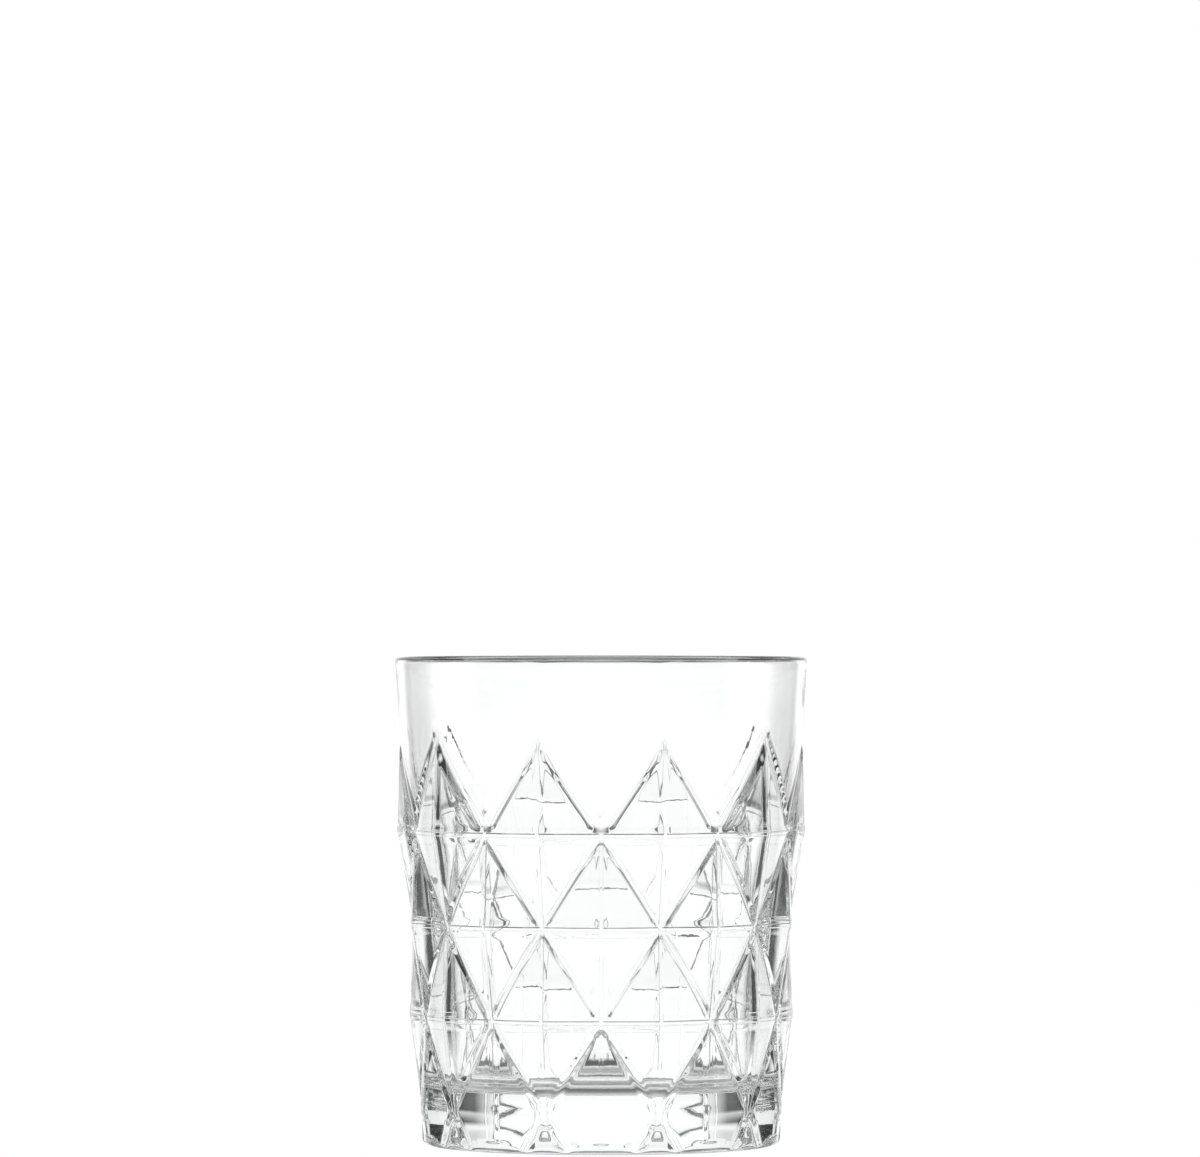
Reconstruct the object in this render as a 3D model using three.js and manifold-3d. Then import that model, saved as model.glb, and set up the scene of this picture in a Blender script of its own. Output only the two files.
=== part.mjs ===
// A pressed-glass whiskey tumbler: one body of clear glass, open at the top, in millimetres, +Z up.
// The origin is the centre of the face it stands on. Azimuth 0 points along -Y, the front.
// The outside is a slim cone dressed with rows of raised diamonds. Each diamond is a low pyramid with
// four flat facets: its crest is in the middle, and its corners are grooves' crossings. A row is turned
// by half a diamond from the row below, so the grooves run as one lattice of diagonals round the glass.
import * as THREE from "three";
import { ConvexGeometry } from "three/addons/geometries/ConvexGeometry.js";
import { mergeVertices } from "three/addons/utils/BufferGeometryUtils.js";
import Module from "manifold-3d";

// Whole glass
const GLASS_HEIGHT = 98;
const SEGMENTS = 120; // round the outside, a multiple of the half diamonds
const CAVITY_SEGMENTS = 80;

// Lip: a fire-polished edge with a faint bead outside
const LIP_RADIUS = 41.5;
const LIP_TOP_RADIUS = 40.85; // where the lip is highest
const BEAD_HEIGHT = 2.6;
const BEAD_PROUD = 0.15;
const LIP_ARC_STEPS = 4;

// Diamond relief: row 0 is the foot row, and rows of crests and of grooves share their heights
const DIAMONDS_ROUND = 10;
const FOOT_ROW_Z = 7.6;
const ROW_PITCH = 18.5;
const LOWEST_ROW = -1; // its tips fill the gaps under the foot row
const TOP_CREST_ROW = 3;
const PEAK_ROW = 4; // the upper tips of the top row's diamonds
const GROOVE_RADII = { "-2": 34.4, "-1": 35.2, 0: 36.0, 1: 36.85, 2: 37.75, 3: 39.1, 4: 40.45 };
const CREST_RADII = { "-1": 35.9, 0: 37.2, 1: 38.4, 2: 39.6, 3: 40.9 };
const ROOT_SHARE = 0.85; // how deep each diamond is rooted in the glass, as a share of its radius
const CORE_SHARE = 0.98; // the plain core under the relief, as a share of the grooves' radius

// Foot
const CONTACT_RADIUS = 34.2; // outer edge of the flat that it stands on
const FOOT_EDGE_RADIUS = 2.0;
const PUNT_RADIUS = 26; // shallow hollow under the base
const PUNT_DEPTH = 1.2;
const PUNT_STEPS = 6;

// Bowl
const FLOOR_Z = 11.5;
const FLOOR_CORNER = 4; // radius of the turn from floor to wall
const CORNER_STEPS = 6;
const BOWL_LOW = new THREE.Vector2(33.5, FLOOR_Z + FLOOR_CORNER);
const BOWL_MIDDLE = new THREE.Vector2(37.3, 63);
const BOWL_HIGH = new THREE.Vector2(39.25, 82);
const BOWL_TOP = new THREE.Vector2(40.1, 96.9);
const BOWL_STEPS = 6;

const BEYOND = 5; // how far a cutting shape reaches past what it cuts

const wasm = await Module();
wasm.setup();

// A closed three.js geometry as a manifold solid.
function solid(geometry) {
  geometry.deleteAttribute("normal");
  geometry.deleteAttribute("uv");
  const merged = mergeVertices(geometry);
  return new wasm.Manifold(
    new wasm.Mesh({
      numProp: 3,
      vertProperties: merged.attributes.position.array,
      triVerts: new Uint32Array(merged.index.array),
    }),
  );
}

// A manifold solid as a three.js geometry.
function geometryOf(shape) {
  const mesh = shape.getMesh();
  const geometry = new THREE.BufferGeometry();
  geometry.setAttribute("position", new THREE.BufferAttribute(mesh.vertProperties, 3));
  geometry.setIndex(new THREE.BufferAttribute(mesh.triVerts, 1));
  const faceted = geometry.toNonIndexed();
  faceted.computeVertexNormals();
  return faceted;
}

// A solid of revolution about Z from (radius, height) points that start and end on the axis, bottom first.
function turned(profile, segments) {
  return solid(new THREE.LatheGeometry(profile, segments).rotateX(Math.PI / 2));
}

// Points along a quarter ellipse from one (radius, height) point to another; it leaves the first level.
function quarterTurn(from, to, steps) {
  return Array.from({ length: steps + 1 }, (_, i) => {
    const angle = (i / steps) * (Math.PI / 2);
    const across = from.x + (to.x - from.x) * Math.sin(angle);
    const up = from.y + (to.y - from.y) * (1 - Math.cos(angle));
    return new THREE.Vector2(across, up);
  });
}

const halfDiamond = Math.PI / DIAMONDS_ROUND;
const rowHeight = (row) => FOOT_ROW_Z + row * ROW_PITCH;

// A point of the outside at an azimuth counted in half diamonds.
function outsidePoint(radius, halves, height) {
  const azimuth = halves * halfDiamond;
  return new THREE.Vector3(radius * Math.sin(azimuth), -radius * Math.cos(azimuth), height);
}

const groovePoint = (row, halves) => outsidePoint(GROOVE_RADII[row], halves, rowHeight(row));

// The convex block between some points of the outside and the same points moved in towards the axis.
function rooted(points) {
  const roots = points.map((p) => new THREE.Vector3(p.x * ROOT_SHARE, p.y * ROOT_SHARE, p.z));
  return solid(new ConvexGeometry([...points, ...roots]));
}

// One diamond: its crest at the middle, and the groove crossings at its four corners.
function diamond(row, halves) {
  const crest = outsidePoint(CREST_RADII[row], halves, rowHeight(row));
  const sides = [groovePoint(row, halves - 1), groovePoint(row, halves + 1)];
  const tips = [groovePoint(row - 1, halves), groovePoint(row + 1, halves)];
  return rooted([crest, ...sides, ...tips]);
}

// The plain glass between two neighbouring peaks: a fan from a groove crossing up to the round wall.
function fan(halves) {
  const stepsPerHalf = SEGMENTS / DIAMONDS_ROUND / 2;
  const arc = Array.from({ length: 2 * stepsPerHalf + 1 }, (_, i) =>
    outsidePoint(GROOVE_RADII[PEAK_ROW], halves - 1 + i / stepsPerHalf, rowHeight(PEAK_ROW)),
  );
  return rooted([groovePoint(TOP_CREST_ROW, halves), ...arc]);
}

// The solid core with the plain upper wall and the outside of the lip.
function core() {
  const profile = [
    new THREE.Vector2(0, 0),
    new THREE.Vector2(GROOVE_RADII[-1] * CORE_SHARE, 0),
  ];
  for (let row = 0; row <= PEAK_ROW; row += 1) {
    profile.push(new THREE.Vector2(GROOVE_RADII[row] * CORE_SHARE, rowHeight(row)));
  }
  const wallTop = LIP_RADIUS - BEAD_PROUD;
  const beadMiddle = new THREE.Vector2(LIP_RADIUS, GLASS_HEIGHT - BEAD_HEIGHT / 2);
  profile.push(new THREE.Vector2(GROOVE_RADII[PEAK_ROW], rowHeight(PEAK_ROW)));
  profile.push(new THREE.Vector2(wallTop, GLASS_HEIGHT - BEAD_HEIGHT));
  const lipTop = new THREE.Vector2(LIP_TOP_RADIUS, GLASS_HEIGHT);
  profile.push(...quarterTurn(lipTop, beadMiddle, LIP_ARC_STEPS).reverse());
  profile.push(new THREE.Vector2(0, GLASS_HEIGHT));
  return turned(profile, SEGMENTS);
}

// Everything that may stay: it trims the relief at the standing face and rounds the foot's edge.
function envelope() {
  const edgeFoot = new THREE.Vector2(CONTACT_RADIUS, 0);
  const edgeTop = new THREE.Vector2(CONTACT_RADIUS + FOOT_EDGE_RADIUS, FOOT_EDGE_RADIUS);
  const wide = LIP_RADIUS + BEYOND;
  return turned(
    [
      new THREE.Vector2(0, 0),
      ...quarterTurn(edgeFoot, edgeTop, LIP_ARC_STEPS),
      new THREE.Vector2(wide, edgeTop.y),
      new THREE.Vector2(wide, GLASS_HEIGHT + BEYOND),
      new THREE.Vector2(0, GLASS_HEIGHT + BEYOND),
    ],
    SEGMENTS,
  );
}

// The space for the drink, from the floor up through the mouth.
function bowl() {
  const floorEdge = new THREE.Vector2(BOWL_LOW.x - FLOOR_CORNER, FLOOR_Z);
  const wall = new THREE.SplineCurve([BOWL_LOW, BOWL_MIDDLE, BOWL_HIGH, BOWL_TOP]);
  const mouth = new THREE.Vector2(LIP_TOP_RADIUS, GLASS_HEIGHT);
  const lipTurn = quarterTurn(mouth, BOWL_TOP, LIP_ARC_STEPS).reverse();
  return turned(
    [
      new THREE.Vector2(0, FLOOR_Z),
      ...quarterTurn(floorEdge, BOWL_LOW, CORNER_STEPS),
      ...wall.getPoints(BOWL_STEPS).slice(1),
      ...lipTurn.slice(1),
      new THREE.Vector2(LIP_TOP_RADIUS, GLASS_HEIGHT + BEYOND),
      new THREE.Vector2(0, GLASS_HEIGHT + BEYOND),
    ],
    CAVITY_SEGMENTS,
  );
}

// The shallow dome under the base, which leaves a flat ring to stand on.
function punt() {
  const dome = Array.from({ length: PUNT_STEPS + 1 }, (_, i) => {
    const share = 1 - i / PUNT_STEPS;
    return new THREE.Vector2(PUNT_RADIUS * share, PUNT_DEPTH * (1 - share * share));
  });
  return turned(
    [new THREE.Vector2(0, -BEYOND), new THREE.Vector2(PUNT_RADIUS, -BEYOND), ...dome],
    CAVITY_SEGMENTS,
  );
}

function tumbler() {
  let glass = core();
  for (let i = 0; i < DIAMONDS_ROUND; i += 1) {
    for (let row = LOWEST_ROW; row <= TOP_CREST_ROW; row += 1) {
      const turn = Math.abs(row % 2);
      glass = glass.add(diamond(row, 2 * i + turn));
    }
    glass = glass.add(fan(2 * i));
  }
  return glass.intersect(envelope()).subtract(bowl()).subtract(punt());
}

const clearGlass = new THREE.MeshStandardMaterial({
  color: 0xf4f7f7,
  roughness: 0.03,
  metalness: 0,
  transparent: true,
  opacity: 0.35,
});

const body = new THREE.Mesh(geometryOf(tumbler()), clearGlass);
body.name = "tumbler_glass";

const group = new THREE.Group();
group.add(body);

export default group;
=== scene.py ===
"""A clear pressed-glass whiskey tumbler with a relief of raised diamonds.

The glass is one closed surface. Its outside is a function of azimuth and height: the largest of the
diamonds and of the plain wall, with facets that bend with the wall, beads along the ridges and
channels along the grooves. Its inside, lip, floor and underside are turned profiles. All lengths
are in metres.
"""

import logging
import math
from dataclasses import dataclass, field
from enum import Enum

import bpy
import numpy as np
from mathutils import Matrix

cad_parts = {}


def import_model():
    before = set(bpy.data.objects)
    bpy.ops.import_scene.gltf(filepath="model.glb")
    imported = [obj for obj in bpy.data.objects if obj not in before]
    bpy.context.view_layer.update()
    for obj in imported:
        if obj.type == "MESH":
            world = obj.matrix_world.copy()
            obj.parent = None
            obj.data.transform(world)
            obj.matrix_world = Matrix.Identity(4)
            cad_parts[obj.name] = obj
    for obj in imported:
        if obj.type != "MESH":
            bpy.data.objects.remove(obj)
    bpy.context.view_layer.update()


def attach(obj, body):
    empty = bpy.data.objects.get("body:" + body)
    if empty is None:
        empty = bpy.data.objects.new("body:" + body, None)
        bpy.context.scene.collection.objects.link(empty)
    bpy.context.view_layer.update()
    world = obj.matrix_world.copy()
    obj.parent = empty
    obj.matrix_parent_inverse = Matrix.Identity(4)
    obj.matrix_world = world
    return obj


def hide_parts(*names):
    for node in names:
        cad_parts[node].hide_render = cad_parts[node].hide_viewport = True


MM = 0.001
GLASS_NODE = "tumbler_glass"
BODY = "root"
WHITE = (1.0, 1.0, 1.0, 1.0)
BOUNCES = 32
GLOSSY_BOUNCES = 16
CHANNEL_FILLET = 3.0
log = logging.getLogger("tumbler")


def smooth_min(a: np.ndarray, b: np.ndarray, blend: float) -> np.ndarray:
    """Smaller of two radii, with the corner between them rounded.

    Where the two differ by less than blend, a parabola takes a quarter of blend off the corner.

    Args:
        a: First radii.
        b: Second radii.
        blend: Difference at which the rounding starts.

    Returns:
        The rounded smaller radii.
    """
    near = np.maximum(blend - np.abs(a - b), 0.0) / blend
    return np.minimum(a, b) - near * near * blend / 4.0


def smooth_max(a: np.ndarray, b: np.ndarray, blend: float) -> np.ndarray:
    """Larger of two radii, with the groove between them filleted, as smooth_min turned over.

    Args:
        a: First radii.
        b: Second radii.
        blend: Difference at which the fillet starts.

    Returns:
        The filleted larger radii.
    """
    return -smooth_min(-a, -b, blend)


def beaded(a: np.ndarray, b: np.ndarray, bead: "Bead") -> np.ndarray:
    """Ridge between two facets, with a low flat-topped bead along it.

    The bead stands where the two radii differ by less than its reach, and its sides follow
    u^2 (3 - 2u), where u goes from 0 at the foot of the side to 1 at the top.

    Args:
        a: Radii of one facet.
        b: Radii of the other.
        bead: Size of the bead.

    Returns:
        The radii of the ridge.
    """
    share = np.clip((bead.reach - np.abs(a - b)) / bead.side, 0.0, 1.0)
    return smooth_min(a, b, bead.reach) + bead.height * share * share * (3.0 - 2.0 * share)


def channelled(a: np.ndarray, b: np.ndarray, depth: float, reach: float) -> np.ndarray:
    """Groove between two facets, with a round-bottomed channel along it.

    The channel is depth (1 - u^2)^2 deep, where u is the difference in radius over reach. The groove
    under it is filleted over a third of reach.

    Args:
        a: Radii of one facet.
        b: Radii of the other.
        depth: Depth of the channel.
        reach: Difference in radius at the channel's edges.

    Returns:
        The radii of the groove.
    """
    near = np.clip(1.0 - ((a - b) / reach) ** 2, 0.0, 1.0)
    return smooth_max(a, b, reach / CHANNEL_FILLET) - depth * near * near


class Op(Enum):
    """What a math node does with its inputs."""

    MULTIPLY = "MULTIPLY"
    DIVIDE = "DIVIDE"
    MAXIMUM = "MAXIMUM"
    LESS_THAN = "LESS_THAN"
    GREATER_THAN = "GREATER_THAN"
    PINGPONG = "PINGPONG"
    ARCTAN2 = "ARCTAN2"
    ABSOLUTE = "ABSOLUTE"


Operand = bpy.types.NodeSocket | float


def math_node(tree: bpy.types.NodeTree, kind: Op, a: Operand, b: Operand = 0.0) -> bpy.types.NodeSocket:
    """Add a math node.

    Args:
        tree: The node tree.
        kind: What it does.
        a: First operand, a socket or a number.
        b: Second operand, a socket or a number.

    Returns:
        Its result.
    """
    node = tree.nodes.new("ShaderNodeMath")
    node.operation = kind.value
    for operand, socket in ((a, node.inputs[0]), (b, node.inputs[1])):
        if isinstance(operand, bpy.types.NodeSocket):
            tree.links.new(operand, socket)
        else:
            socket.default_value = operand
    return node.outputs[0]


def ranged(
    tree: bpy.types.NodeTree,
    value: bpy.types.NodeSocket,
    span: tuple[float, float],
    ends: tuple[float, float] = (0.0, 1.0),
    smooth: bool = False,
    clamp: bool = True,
) -> bpy.types.NodeSocket:
    """Add a map range node.

    Args:
        tree: The node tree.
        value: The value.
        span: The value at the two ends.
        ends: What the two ends become.
        smooth: Whether the way from end to end is an S-curve and not a line.
        clamp: Whether the result is held beyond the ends.

    Returns:
        Its result.
    """
    node = tree.nodes.new("ShaderNodeMapRange")
    node.interpolation_type = "SMOOTHSTEP" if smooth else "LINEAR"
    node.clamp = clamp
    node.inputs["From Min"].default_value, node.inputs["From Max"].default_value = span
    node.inputs["To Min"].default_value, node.inputs["To Max"].default_value = ends
    tree.links.new(value, node.inputs["Value"])
    return node.outputs["Result"]


@dataclass(frozen=True)
class Bead:
    """A bead along a ridge; reach and side are differences between the two facets' radii."""

    height: float
    reach: float
    side: float


@dataclass(frozen=True)
class Relief:
    """The outside of the glass: rows of raised diamonds under a plain wall.

    Heights are counted in rows from the foot row, and azimuths in half diamonds from the front.
    A crest is where row plus half diamonds is even, and a groove crossing is where it is odd.
    """

    diamonds: int = 10
    foot_row_z: float = 7.6 * MM
    pitch: float = 18.5 * MM
    top_row: int = 3
    grooves: tuple[float, ...] = (34.4, 35.2, 36.0, 36.85, 37.75, 39.1, 40.45)
    crests: tuple[float, ...] = (35.9, 37.2, 38.4, 39.6, 40.9)
    lowest_groove_row: int = -2
    lowest_crest_row: int = -1
    wall_top_radius: float = 41.35 * MM
    wall_top_z: float = 95.4 * MM
    ring_bead: Bead = Bead(0.12 * MM, 0.22 * MM, 0.05 * MM)
    upright_bead: Bead = Bead(0.10 * MM, 0.26 * MM, 0.05 * MM)
    channel_depth: float = 0.38 * MM
    channel_reach: float = 0.30 * MM
    wall_blend: float = 0.10 * MM
    row_reach: float = 1.1

    @property
    def half_diamond(self) -> float:
        """Angle of half a diamond.

        Returns:
            The angle, in radians.
        """
        return math.pi / self.diamonds

    def row_z(self, row: float) -> float:
        """Height of a row.

        Args:
            row: The row, which need not be whole.

        Returns:
            The height.
        """
        return self.foot_row_z + row * self.pitch

    def groove(self, row: int) -> float:
        """Radius of the groove crossings of a row.

        Args:
            row: The row.

        Returns:
            The radius.
        """
        return self.grooves[row - self.lowest_groove_row] * MM

    def crest(self, row: int) -> float:
        """Radius of the crests of a row.

        Args:
            row: The row.

        Returns:
            The radius.
        """
        return self.crests[row - self.lowest_crest_row] * MM

    def offset(self, row: int, angle: np.ndarray) -> np.ndarray:
        """Azimuth from the nearest crest of a row, in half diamonds.

        Args:
            row: The crests' row.
            angle: Azimuths.

        Returns:
            The distances, from 0 at a crest to 1 halfway to the next one.
        """
        return np.abs((angle / self.half_diamond - abs(row) % 2 + 1.0) % 2.0 - 1.0)

    def diamond(self, row: int, angle: np.ndarray, z: np.ndarray) -> np.ndarray:
        """Radius of one row's diamonds.

        Each has four facets that fall evenly from its crest to the groove crossings round it, and
        bend with the wall. The smaller of the falls over and under the crest makes the ring ridge,
        and its distance from the crest's azimuth makes the upright ridge.

        Args:
            row: The crests' row.
            angle: Azimuths.
            z: Heights.

        Returns:
            The radii, far too small where the row doesn't reach.
        """
        crest, corner = self.crest(row), self.groove(row)
        rise = (z - self.row_z(row)) / self.pitch
        over = (self.groove(row + 1) - crest) * rise
        under = (crest - self.groove(row - 1)) * rise
        side = (crest - corner) * self.offset(row, angle)
        ring = beaded(over, under, self.ring_bead)
        return crest + ring + beaded(-side, side, self.upright_bead)

    def wall(self, z: np.ndarray) -> np.ndarray:
        """Radius of the plain wall: two cones, which meet at the peaks of the top row.

        Args:
            z: Heights.

        Returns:
            The radii.
        """
        peak_row = self.top_row + 1
        low, peak = self.groove(self.top_row), self.groove(peak_row)
        below = peak + (peak - low) * (z - self.row_z(peak_row)) / self.pitch
        rise = (self.wall_top_radius - peak) / (self.wall_top_z - self.row_z(peak_row))
        above = peak + rise * (z - self.row_z(peak_row))
        return smooth_min(below, above, self.wall_blend)

    def radius(self, angle: np.ndarray, z: np.ndarray) -> np.ndarray:
        """Radius of the outside before the foot's edge and the lip.

        A row's diamonds and the wall are lowered out of the way beyond the rows that they reach.

        Args:
            angle: Azimuths.
            z: Heights.

        Returns:
            The radii.
        """
        result = self.wall(z) - np.where(z < self.row_z(self.top_row), self.pitch, 0.0)
        for row in range(self.lowest_crest_row, self.top_row + 1):
            reach = np.abs(z - self.row_z(row)) / self.pitch
            made = self.diamond(row, angle, z) - np.maximum(reach - self.row_reach, 0.0) * self.pitch
            result = channelled(result, made, self.channel_depth, self.channel_reach)
        return result


@dataclass(frozen=True)
class FirePolish:
    """The skin of fire-polished pressed glass, as a shader node group.

    Two sizes of noise on Object coordinates give a faint orange-peel ripple, and the larger one also
    says where the skin is a little less glossy.
    """

    name: str = "fire_polish"
    broad_scale: float = 85.0
    broad_detail: float = 1.0
    fine_scale: float = 420.0
    fine_detail: float = 2.0
    fine_share: float = 0.25
    dull_noise: tuple[float, float] = (0.4, 0.7)
    gloss: tuple[float, float] = (0.0, 0.012)

    def group(self) -> bpy.types.NodeTree:
        """Make the group.

        Returns:
            A group from a position, and a ripple height in metres, to a normal and a roughness.
        """
        tree = bpy.data.node_groups.new(self.name, "ShaderNodeTree")
        face = tree.interface
        face.new_socket("Position", in_out="INPUT", socket_type="NodeSocketVector")
        face.new_socket("Ripple", in_out="INPUT", socket_type="NodeSocketFloat")
        face.new_socket("Normal", in_out="OUTPUT", socket_type="NodeSocketVector")
        face.new_socket("Roughness", in_out="OUTPUT", socket_type="NodeSocketFloat")
        nodes, links = tree.nodes, tree.links
        given, made = nodes.new("NodeGroupInput"), nodes.new("NodeGroupOutput")
        broad, fine = nodes.new("ShaderNodeTexNoise"), nodes.new("ShaderNodeTexNoise")
        broad.inputs["Scale"].default_value = self.broad_scale
        broad.inputs["Detail"].default_value = self.broad_detail
        fine.inputs["Scale"].default_value = self.fine_scale
        fine.inputs["Detail"].default_value = self.fine_detail
        both = nodes.new("ShaderNodeMath")
        both.operation = "MULTIPLY_ADD"
        both.inputs[1].default_value = self.fine_share
        bump = nodes.new("ShaderNodeBump")
        bump.inputs["Strength"].default_value = 1.0
        links.new(given.outputs["Position"], broad.inputs["Vector"])
        links.new(given.outputs["Position"], fine.inputs["Vector"])
        links.new(fine.outputs["Fac"], both.inputs[0])
        links.new(broad.outputs["Fac"], both.inputs[2])
        links.new(both.outputs[0], bump.inputs["Height"])
        links.new(given.outputs["Ripple"], bump.inputs["Distance"])
        links.new(bump.outputs["Normal"], made.inputs["Normal"])
        gloss = ranged(tree, broad.outputs["Fac"], self.dull_noise, self.gloss)
        links.new(gloss, made.inputs["Roughness"])
        return tree


@dataclass(frozen=True)
class MouldLines:
    """Fine raised lines along the rings and uprights of the relief, as a shader node group.

    They sharpen the beads that the mesh has there. Each is a flat-topped step: 1 as far out as its
    top, and 0 beyond its foot.
    """

    relief: Relief
    name: str = "mould_lines"
    top: float = 0.20 * MM
    foot: float = 0.50 * MM
    first_row: float = 0.5
    last_row: float = 3.03

    def near(
        self, tree: bpy.types.NodeTree, place: bpy.types.NodeSocket, spacing: float
    ) -> bpy.types.NodeSocket:
        """1 on evenly spaced lines and 0 between them.

        Args:
            tree: The node tree.
            place: Place across the lines, in spacings.
            spacing: Distance between two lines.

        Returns:
            The value.
        """
        away = math_node(tree, Op.PINGPONG, place, 0.5)
        span = (self.top / spacing, self.foot / spacing)
        return ranged(tree, away, span, (1.0, 0.0), smooth=True)

    def group(self) -> bpy.types.NodeTree:
        """Make the group.

        The lines stand only between the first row and the last, and only where the mask is 1.

        Returns:
            A group from a position and a mask to the lines' height, between 0 and 1.
        """
        tree = bpy.data.node_groups.new(self.name, "ShaderNodeTree")
        face = tree.interface
        face.new_socket("Position", in_out="INPUT", socket_type="NodeSocketVector")
        face.new_socket("Mask", in_out="INPUT", socket_type="NodeSocketFloat")
        face.new_socket("Height", in_out="OUTPUT", socket_type="NodeSocketFloat")
        given, made = tree.nodes.new("NodeGroupInput"), tree.nodes.new("NodeGroupOutput")
        split = tree.nodes.new("ShaderNodeSeparateXYZ")
        tree.links.new(given.outputs["Position"], split.inputs[0])
        one_row = (self.relief.foot_row_z, self.relief.row_z(1.0))
        row = ranged(tree, split.outputs["Z"], one_row, clamp=False)
        turn = math_node(tree, Op.ARCTAN2, split.outputs["X"], split.outputs["Y"])
        halves = math_node(tree, Op.DIVIDE, turn, self.relief.half_diamond)
        ring = self.near(tree, row, self.relief.pitch)
        upright = self.near(tree, halves, self.relief.half_diamond * self.relief.groove(1))
        lines = math_node(tree, Op.MAXIMUM, ring, upright)
        under = math_node(tree, Op.LESS_THAN, row, self.last_row)
        over = math_node(tree, Op.GREATER_THAN, row, self.first_row)
        for limit in (under, over, given.outputs["Mask"]):
            lines = math_node(tree, Op.MULTIPLY, lines, limit)
        tree.links.new(lines, made.inputs["Height"])
        return tree


@dataclass(frozen=True)
class PressedGlass:
    """Clear soda-lime glass: a rippled fire-polished skin over a bulk with a trace of grey."""

    name: str = "clear_glass"
    ior: float = 1.52
    tint: tuple[float, float, float, float] = (0.995, 0.998, 0.998, 1.0)
    bulk: tuple[float, float, float, float] = (0.86, 0.88, 0.88, 1.0)
    density: float = 6.0
    ripple: float = 0.03 * MM
    skin: FirePolish = FirePolish()
    lines: MouldLines = MouldLines(Relief())
    line_height: float = 0.13 * MM

    @staticmethod
    def outside(tree: bpy.types.NodeTree, where: bpy.types.Node) -> bpy.types.NodeSocket:
        """1 on faces that look away from the axis, seen from either side, and 0 on the others.

        Args:
            tree: The node tree.
            where: Texture coordinate node.

        Returns:
            The value.
        """
        outward = tree.nodes.new("ShaderNodeVectorMath")
        outward.operation = "MULTIPLY"
        outward.inputs[1].default_value = (1.0, 1.0, 0.0)
        tree.links.new(where.outputs["Object"], outward.inputs[0])
        facing = tree.nodes.new("ShaderNodeVectorMath")
        facing.operation = "DOT_PRODUCT"
        tree.links.new(where.outputs["Normal"], facing.inputs[0])
        tree.links.new(outward.outputs[0], facing.inputs[1])
        surface = tree.nodes.new("ShaderNodeNewGeometry")
        side = ranged(tree, surface.outputs["Backfacing"], (0.0, 1.0), (1.0, -1.0))
        turned = math_node(tree, Op.MULTIPLY, facing.outputs["Value"], side)
        return math_node(tree, Op.GREATER_THAN, turned, 0.0)

    def build(self) -> bpy.types.Material:
        """Make the material.

        Returns:
            The material, on Object coordinates.
        """
        material = bpy.data.materials.new(self.name)
        material.use_nodes = True
        nodes, links = material.node_tree.nodes, material.node_tree.links
        nodes.clear()
        output = nodes.new("ShaderNodeOutputMaterial")
        where = nodes.new("ShaderNodeTexCoord")
        skin = nodes.new("ShaderNodeGroup")
        skin.node_tree = self.skin.group()
        skin.inputs["Ripple"].default_value = self.ripple
        shader = nodes.new("ShaderNodeBsdfPrincipled")
        shader.inputs["Base Color"].default_value = self.tint
        shader.inputs["IOR"].default_value = self.ior
        shader.inputs["Transmission Weight"].default_value = 1.0
        shader.inputs["Metallic"].default_value = 0.0
        absorb = nodes.new("ShaderNodeVolumeAbsorption")
        absorb.inputs["Color"].default_value = self.bulk
        absorb.inputs["Density"].default_value = self.density
        lines = nodes.new("ShaderNodeGroup")
        lines.node_tree = self.lines.group()
        links.new(where.outputs["Object"], skin.inputs["Position"])
        links.new(where.outputs["Object"], lines.inputs["Position"])
        links.new(self.outside(material.node_tree, where), lines.inputs["Mask"])
        raised = nodes.new("ShaderNodeBump")
        raised.inputs["Strength"].default_value = 1.0
        raised.inputs["Distance"].default_value = self.line_height
        links.new(lines.outputs["Height"], raised.inputs["Height"])
        links.new(skin.outputs["Normal"], raised.inputs["Normal"])
        links.new(raised.outputs["Normal"], shader.inputs["Normal"])
        links.new(skin.outputs["Roughness"], shader.inputs["Roughness"])
        links.new(shader.outputs["BSDF"], output.inputs["Surface"])
        links.new(absorb.outputs["Volume"], output.inputs["Volume"])
        return material


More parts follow.
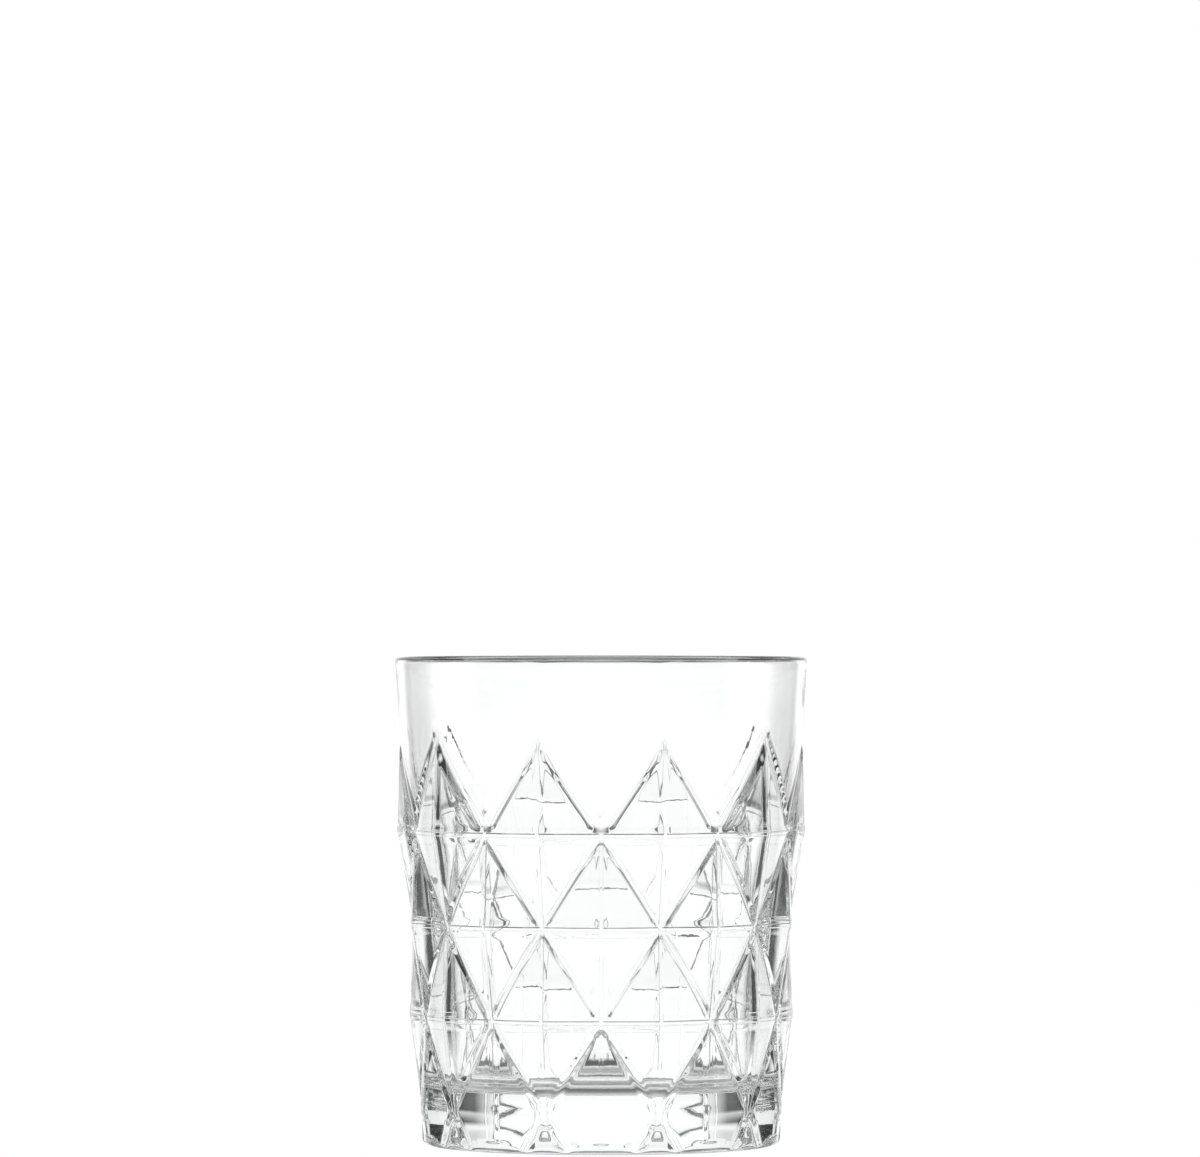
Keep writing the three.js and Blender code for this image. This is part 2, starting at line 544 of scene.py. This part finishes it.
@dataclass
class Tumbler:
    """The glass itself, as one closed surface of rings round the axis.

    Steps are the cells along half a diamond and a row. Waves are each a share of wave, turns round,
    radians up the wall and a phase.
    """

    height: float = 98.0 * MM
    relief: Relief = field(default_factory=Relief)
    steps: int = 24
    plain_steps: int = 4
    punt_rings: int = 11
    ring_rings: int = 5
    edge_rings: int = 8
    bowl_rings: int = 30
    corner_rings: int = 12
    floor_rings: int = 5
    lip_radius: float = 41.5 * MM
    lip_top_radius: float = 40.85 * MM
    bead_height: float = 2.6 * MM
    contact_radius: float = 34.2 * MM
    foot_edge: float = 2.0 * MM
    wave: float = 0.03 * MM
    waves: tuple[tuple[float, float, float, float], ...] = (
        (1.0, 9.0, 16.0, 0.0),
        (0.6, -14.0, 27.0, 1.0),
        (0.5, 5.0, -41.0, 2.0),
    )
    punt_radius: float = 26.0 * MM
    punt_depth: float = 1.2 * MM
    neck: float = 0.15 * MM
    floor_z: float = 11.5 * MM
    floor_corner: float = 4.0 * MM
    bowl_low: tuple[float, float] = (33.5 * MM, 15.5 * MM)
    bowl_middle: tuple[float, float] = (37.3 * MM, 63.0 * MM)
    bowl_high: tuple[float, float] = (39.25 * MM, 82.0 * MM)
    bowl_top: tuple[float, float] = (40.1 * MM, 96.9 * MM)

    def underside(self) -> np.ndarray:
        """Profile of the shallow punt and the flat contact ring.

        The punt's height is its depth times 1 - u^2, where u goes from 0 at the axis to 1.

        Returns:
            Radius and height of each ring, from near the axis out to the contact ring's edge.
        """
        share = np.linspace(0.0, 1.0, self.punt_rings + 1)[1:]
        dome = np.stack([self.punt_radius * share, self.punt_depth * (1.0 - share**2)], axis=1)
        flat = np.linspace(self.punt_radius, self.contact_radius, self.ring_rings + 1)[1:]
        return np.concatenate([dome, np.stack([flat, np.zeros_like(flat)], axis=1)])

    def outside(self, angle: np.ndarray) -> tuple[np.ndarray, np.ndarray]:
        """Rings of the outside from the foot's rounded edge to under the lip.

        Args:
            angle: Azimuths of a ring's points.

        Returns:
            The radii and the heights, each as rings by points.
        """
        edge = np.linspace(0.0, math.pi / 2, self.edge_rings + 1)[1:]
        edge_z = self.foot_edge * (1.0 - np.cos(edge))
        edge_radius = self.contact_radius + self.foot_edge * np.sin(edge)
        relief = self.relief
        step = relief.pitch / self.steps
        first = math.floor((edge_z[-1] - relief.foot_row_z) / step) + 1
        peaks = self.steps * (relief.top_row + 1) + self.plain_steps
        relief_z = relief.foot_row_z + step * np.arange(first, peaks)
        top = self.height - self.bead_height
        plain_z = np.linspace(relief_z[-1], top, self.plain_steps + 2)[1:-1]
        wall_z = np.concatenate([relief_z, plain_z])
        z = np.concatenate([edge_z, wall_z])
        rings = np.broadcast_to(z[:, None], (z.size, angle.size))
        radius = relief.radius(np.broadcast_to(angle, rings.shape), rings)
        cap = np.concatenate([edge_radius, np.full(wall_z.size, np.max(radius) + self.neck)])
        return smooth_min(radius, cap[:, None], self.neck), rings

    def lip(self) -> np.ndarray:
        """Profile of the lip: two quarter ellipses over a neck.

        Returns:
            Radius and height of each ring, from under the lip over to the top of the bowl.
        """
        under = np.array([[self.lip_radius - self.neck, self.height - self.bead_height]])
        turn = np.linspace(0.0, math.pi / 2, self.edge_rings + 1)
        bead = self.bead_height / 2
        outer = np.stack(
            [
                self.lip_top_radius + (self.lip_radius - self.lip_top_radius) * np.cos(turn),
                self.height - bead + bead * np.sin(turn),
            ],
            axis=1,
        )
        inner_reach = self.lip_top_radius - self.bowl_top[0]
        inner_drop = self.height - self.bowl_top[1]
        inner = np.stack(
            [
                self.lip_top_radius - inner_reach * np.sin(turn),
                self.height - inner_drop + inner_drop * np.cos(turn),
            ],
            axis=1,
        )
        return np.concatenate([under, outer, inner[1:]])

    def bowl(self) -> np.ndarray:
        """Profile of the bowl: a cubic through four knots, a quarter round and a flat floor.

        Returns:
            Radius and height of each ring, from under the lip down and in to near the axis.
        """
        knots = np.array([self.bowl_low, self.bowl_middle, self.bowl_high, self.bowl_top])
        z = np.linspace(self.bowl_top[1], self.bowl_low[1], self.bowl_rings + 1)[1:]
        curve = np.polyfit(knots[:, 1], knots[:, 0], len(knots) - 1)
        wall = np.stack([np.polyval(curve, z), z], axis=1)
        turn = np.linspace(0.0, math.pi / 2, self.corner_rings + 1)[1:]
        corner = np.stack(
            [
                self.bowl_low[0] - self.floor_corner * (1.0 - np.cos(turn)),
                self.bowl_low[1] - self.floor_corner * np.sin(turn),
            ],
            axis=1,
        )
        share = np.linspace(1.0, 0.0, self.floor_rings + 2)[1:-1]
        floor = np.stack([corner[-1, 0] * share, np.full(share.size, self.floor_z)], axis=1)
        return np.concatenate([wall, corner, floor])

    @staticmethod
    def turned(profile: np.ndarray, around: int) -> tuple[np.ndarray, np.ndarray]:
        """Turn a profile round the axis.

        Args:
            profile: Radius and height of each ring.
            around: Points in a ring.

        Returns:
            The radii and the heights, each as rings by points.
        """
        return np.repeat(profile[:, :1], around, axis=1), np.repeat(profile[:, 1:], around, axis=1)

    def unevenness(self, angle: np.ndarray, z: np.ndarray) -> np.ndarray:
        """Slow waves that the plunger leaves on the inside of the wall.

        Each wave is a sine of its turns round, its radians up and its phase. Together they fade out
        towards the lip and the floor's corner.

        Args:
            angle: Azimuths.
            z: Heights, as rings by points.

        Returns:
            What to add to the inside radius.
        """
        share = np.clip((z - self.bowl_low[1]) / (self.bowl_top[1] - self.bowl_low[1]), 0.0, 1.0)
        total = np.zeros_like(share)
        for part, turns, up, phase in self.waves:
            total = total + part * np.sin(turns * angle + up * share + phase)
        return self.wave * total * np.sin(math.pi * share)

    def triangles(self, ring_z: np.ndarray, low_pole: int) -> np.ndarray:
        """Triangles between neighbouring rings, and a fan at each pole.

        Each four-cornered cell is split along the diagonal that the groove nearest to it follows:
        one way where the cell's row and half diamond add up to an even number, else the other.

        Args:
            ring_z: Height of each ring, for the row that it is in.
            low_pole: Index of the lower pole's vertex, which the upper pole's follows.

        Returns:
            Vertex indices, three to a triangle, wound to face outwards.
        """
        around = 2 * self.relief.diamonds * self.steps
        here = np.arange(around)
        there = (here + 1) % around
        base = np.arange(ring_z.size - 1)[:, None] * around
        low_a, low_b = base + here, base + there
        high_a, high_b = low_a + around, low_b + around
        rows = np.floor(((ring_z[:-1] + ring_z[1:]) / 2 - self.relief.foot_row_z) / self.relief.pitch)
        even = ((rows[:, None] + here // self.steps) % 2 == 0)[..., None]
        first = np.where(even, np.stack([low_a, low_b, high_a], 2), np.stack([low_a, low_b, high_b], 2))
        second = np.where(even, np.stack([low_b, high_b, high_a], 2), np.stack([low_a, high_b, high_a], 2))
        last = (ring_z.size - 1) * around
        low_fan = np.stack([np.full(around, low_pole), there, here], axis=1)
        high_fan = np.stack([np.full(around, low_pole + 1), last + here, last + there], axis=1)
        return np.concatenate([first.reshape(-1, 3), second.reshape(-1, 3), low_fan, high_fan])

    def build(self, finish: PressedGlass) -> bpy.types.Object:
        """Put all the rings together as one closed mesh.

        Args:
            finish: The glass it is made of.

        Returns:
            The glass.
        """
        around = 2 * self.relief.diamonds * self.steps
        angle = np.arange(around) * (2.0 * math.pi / around)
        outside_radius, outside_z = self.outside(angle)
        under_radius, under_z = self.turned(self.underside(), around)
        lip_radius, lip_z = self.turned(self.lip(), around)
        bowl_radius, bowl_z = self.turned(self.bowl(), around)
        bowl_radius = bowl_radius + self.unevenness(angle, bowl_z)
        radius = np.concatenate([under_radius, outside_radius, lip_radius, bowl_radius])
        z = np.concatenate([under_z, outside_z, lip_z, bowl_z])
        x, y = radius * np.sin(angle), -radius * np.cos(angle)
        points = np.stack([x, y, z], axis=2).reshape(-1, 3)
        poles = np.array([[0.0, 0.0, self.punt_depth], [0.0, 0.0, self.floor_z]])
        vertices = np.concatenate([points, poles])
        faces = self.triangles(z[:, 0], points.shape[0])
        mesh = bpy.data.meshes.new("tumbler")
        mesh.from_pydata(vertices.tolist(), [], faces.tolist())
        mesh.polygons.foreach_set("use_smooth", np.ones(len(mesh.polygons), dtype=bool))
        mesh.update()
        log.info("glass: %d vertices, %d triangles", len(mesh.vertices), len(mesh.polygons))
        glass = bpy.data.objects.new("tumbler", mesh)
        bpy.context.scene.collection.objects.link(glass)
        mesh.materials.append(finish.build())
        return glass


@dataclass(frozen=True)
class Studio:
    """A bright field: a white surround behind the glass, with dark cards out to its sides.

    Eye is the camera's place across and above the floor. Back, front and up are places and levels of
    brightness; each other pair is where a dark thing starts and where it is full, as directions.
    """

    distance: float = 1.83
    lens: float = 273.0
    sensor: float = 36.0
    eye: tuple[float, float] = (-0.24 * MM, 113.8 * MM)
    far: float = 100.0
    floor_reach: float = 4.0
    floor_gap: float = 0.02 * MM
    bright: float = 1.14
    behind: tuple[float, float] = (-0.1, 0.1)
    card_foot: tuple[float, float] = (-0.41, -0.35)
    card_head: tuple[float, float] = (0.12, 0.02)
    hall_depth: tuple[float, float] = (0.0, -0.25)
    hall_foot: tuple[float, float] = (-0.17, -0.09)
    hall_level: float = 0.12
    gap_near: tuple[float, float] = (-0.52, -0.45)
    gap_far: tuple[float, float] = (-0.22, -0.30)
    gap_width: tuple[float, float] = (0.60, 0.50)
    gap_level: float = 0.12
    back: tuple[tuple[float, float], ...] = (
        (0.0, 1.0),
        (0.50, 0.97),
        (0.62, 0.06),
        (0.88, 0.01),
        (0.97, 0.95),
    )
    front: tuple[tuple[float, float], ...] = (
        (0.0, 1.0),
        (0.50, 0.95),
        (0.64, 0.90),
        (0.88, 0.90),
        (0.97, 1.0),
    )
    up: tuple[tuple[float, float], ...] = (
        (0.0, 0.15),
        (0.18, 0.45),
        (0.28, 0.90),
        (0.36, 0.88),
        (0.43, 0.94),
        (0.49, 1.0),
        (0.54, 1.0),
        (0.62, 0.92),
        (0.75, 0.80),
        (1.0, 1.0),
    )

    def camera(self) -> bpy.types.Object:
        """A level camera in front of the glass, far off, as a long lens sees it.

        Returns:
            The camera.
        """
        data = bpy.data.cameras.new("camera")
        data.sensor_width = self.sensor
        data.lens = self.lens
        data.clip_end = self.far
        camera = bpy.data.objects.new("camera", data)
        camera.location = (self.eye[0], -self.distance, self.eye[1])
        camera.rotation_euler = (math.pi / 2, 0.0, 0.0)
        bpy.context.scene.collection.objects.link(camera)
        bpy.context.scene.camera = camera
        return camera

    @staticmethod
    def levels(nodes: bpy.types.Nodes, stops: tuple[tuple[float, float], ...]) -> bpy.types.Node:
        """A ramp from a place between 0 and 1 to a brightness.

        Args:
            nodes: The tree's nodes.
            stops: Place and brightness of each stop.

        Returns:
            The ramp.
        """
        ramp = nodes.new("ShaderNodeValToRGB")
        made = ramp.color_ramp.elements
        made[0].position, made[1].position = stops[0][0], stops[-1][0]
        for stop in stops[1:-1]:
            made.new(stop[0])
        for element, (_, level) in zip(made, stops, strict=True):
            element.color = (level, level, level, 1.0)
        return ramp

    @staticmethod
    def band(
        tree: bpy.types.NodeTree,
        part: bpy.types.NodeSocket,
        height: bpy.types.NodeSocket,
        foot: tuple[float, float],
        head: tuple[float, float],
    ) -> bpy.types.NodeSocket:
        """The part of a value that lies in a band of heights.

        Args:
            tree: The node tree.
            part: The value.
            height: How far a direction rises.
            foot: Where the band's lower edge starts and is full.
            head: Where its upper edge is gone and is full.

        Returns:
            The value in the band, and 0 elsewhere.
        """
        low, high = ranged(tree, height, foot), ranged(tree, height, head)
        return math_node(tree, Op.MULTIPLY, part, math_node(tree, Op.MULTIPLY, low, high))

    @staticmethod
    def darkened(
        tree: bpy.types.NodeTree, light: bpy.types.Node, where: bpy.types.NodeSocket, level: float
    ) -> bpy.types.Node:
        """A light with a dark thing in it.

        Args:
            tree: The node tree.
            light: Mix node of the light.
            where: Value that is 1 on the dark thing.
            level: The dark thing's brightness.

        Returns:
            The mix node of both.
        """
        node = tree.nodes.new("ShaderNodeMix")
        node.data_type = "RGBA"
        node.inputs["B"].default_value = (level, level, level, 1.0)
        tree.links.new(where, node.inputs["Factor"])
        tree.links.new(light.outputs["Result"], node.inputs["A"])
        return node

    @staticmethod
    def to_camera(
        tree: bpy.types.NodeTree, seen: bpy.types.Node, other: bpy.types.Node, kind: str
    ) -> None:
        """Show one shader to the camera and another to the light that has met the glass.

        Args:
            tree: The node tree.
            seen: Shader that the camera sees.
            other: Shader for all other rays.
            kind: Type of the output node.
        """
        path = tree.nodes.new("ShaderNodeLightPath")
        mix = tree.nodes.new("ShaderNodeMixShader")
        output = tree.nodes.new(kind)
        tree.links.new(path.outputs["Is Camera Ray"], mix.inputs["Fac"])
        tree.links.new(other.outputs[0], mix.inputs[1])
        tree.links.new(seen.outputs[0], mix.inputs[2])
        tree.links.new(mix.outputs[0], output.inputs["Surface"])

    def floor(self) -> bpy.types.Object:
        """A plain white floor under the glass, lit from within so that it takes no shadow.

        Only the camera sees it. What the glass bends downwards goes on to the grey table that the
        surround stands for.

        Returns:
            The floor.
        """
        reach = self.floor_reach
        mesh = bpy.data.meshes.new("floor")
        corners = [(-reach, -reach, 0.0), (reach, -reach, 0.0), (reach, reach, 0.0), (-reach, reach, 0.0)]
        mesh.from_pydata(corners, [], [(0, 1, 2, 3)])
        floor = bpy.data.objects.new("floor", mesh)
        floor.location = (0.0, 0.0, -self.floor_gap)
        bpy.context.scene.collection.objects.link(floor)
        material = bpy.data.materials.new("white_floor")
        material.use_nodes = True
        nodes = material.node_tree.nodes
        nodes.clear()
        glow = nodes.new("ShaderNodeEmission")
        glow.inputs["Color"].default_value = WHITE
        passes = nodes.new("ShaderNodeBsdfTransparent")
        self.to_camera(material.node_tree, glow, passes, "ShaderNodeOutputMaterial")
        mesh.materials.append(material)
        return floor

    def surround(self) -> bpy.types.World:
        """The room's light by direction, and a white ground wherever the camera sees past the glass.

        Out from the middle of the backdrop, a white field gives way to a dark card and then to a
        white softbox at the side. The cards stand behind the glass, from the table to a little above
        the horizon, and a dark gap parts the table from the backdrop. The hall in front is dark.

        Returns:
            The world.
        """
        world = bpy.data.worlds.new("bright_field")
        bpy.context.scene.world = world
        world.use_nodes = True
        tree = world.node_tree
        nodes, links = tree.nodes, tree.links
        nodes.clear()
        room = nodes.new("ShaderNodeBackground")
        room.inputs["Strength"].default_value = self.bright
        ground = nodes.new("ShaderNodeBackground")
        ground.inputs["Color"].default_value = WHITE
        ground.inputs["Strength"].default_value = 1.0
        where = nodes.new("ShaderNodeTexCoord")
        split = nodes.new("ShaderNodeSeparateXYZ")
        links.new(where.outputs["Generated"], split.inputs[0])
        ways = split.outputs
        across = math_node(tree, Op.ABSOLUTE, ways["X"])
        back_levels = self.levels(nodes, self.back)
        front_levels = self.levels(nodes, self.front)
        links.new(across, back_levels.inputs["Fac"])
        links.new(across, front_levels.inputs["Fac"])
        behind = ranged(tree, ways["Y"], self.behind)
        sides = nodes.new("ShaderNodeMix")
        sides.data_type = "RGBA"
        links.new(self.band(tree, behind, ways["Z"], self.card_foot, self.card_head), sides.inputs["Factor"])
        links.new(front_levels.outputs["Color"], sides.inputs["A"])
        links.new(back_levels.outputs["Color"], sides.inputs["B"])
        facing = ranged(tree, ways["Y"], self.hall_depth)
        upright = ranged(tree, ways["Z"], self.hall_foot)
        hall_place = math_node(tree, Op.MULTIPLY, facing, upright)
        hall = self.darkened(tree, sides, hall_place, self.hall_level)
        middle = ranged(tree, across, self.gap_width)
        gap_place = self.band(tree, behind, ways["Z"], self.gap_near, self.gap_far)
        gap = math_node(tree, Op.MULTIPLY, gap_place, middle)
        field = self.darkened(tree, hall, gap, self.gap_level)
        height_levels = self.levels(nodes, self.up)
        links.new(ranged(tree, ways["Z"], (-1.0, 1.0)), height_levels.inputs["Fac"])
        both = nodes.new("ShaderNodeVectorMath")
        both.operation = "MULTIPLY"
        links.new(field.outputs["Result"], both.inputs[0])
        links.new(height_levels.outputs["Color"], both.inputs[1])
        links.new(both.outputs[0], room.inputs["Color"])
        self.to_camera(tree, ground, room, "ShaderNodeOutputWorld")
        return world


def main() -> None:
    """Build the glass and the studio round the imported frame."""
    logging.basicConfig(level=logging.INFO, format="%(message)s")
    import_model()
    studio = Studio()
    studio.camera()
    studio.floor()
    studio.surround()
    glass = Tumbler().build(PressedGlass())
    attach(glass, BODY)
    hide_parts(GLASS_NODE)
    scene = bpy.context.scene
    scene.view_settings.view_transform = "Standard"
    scene.cycles.max_bounces = BOUNCES
    scene.cycles.transmission_bounces = BOUNCES
    scene.cycles.glossy_bounces = GLOSSY_BOUNCES


if __name__ == "__main__":
    main()
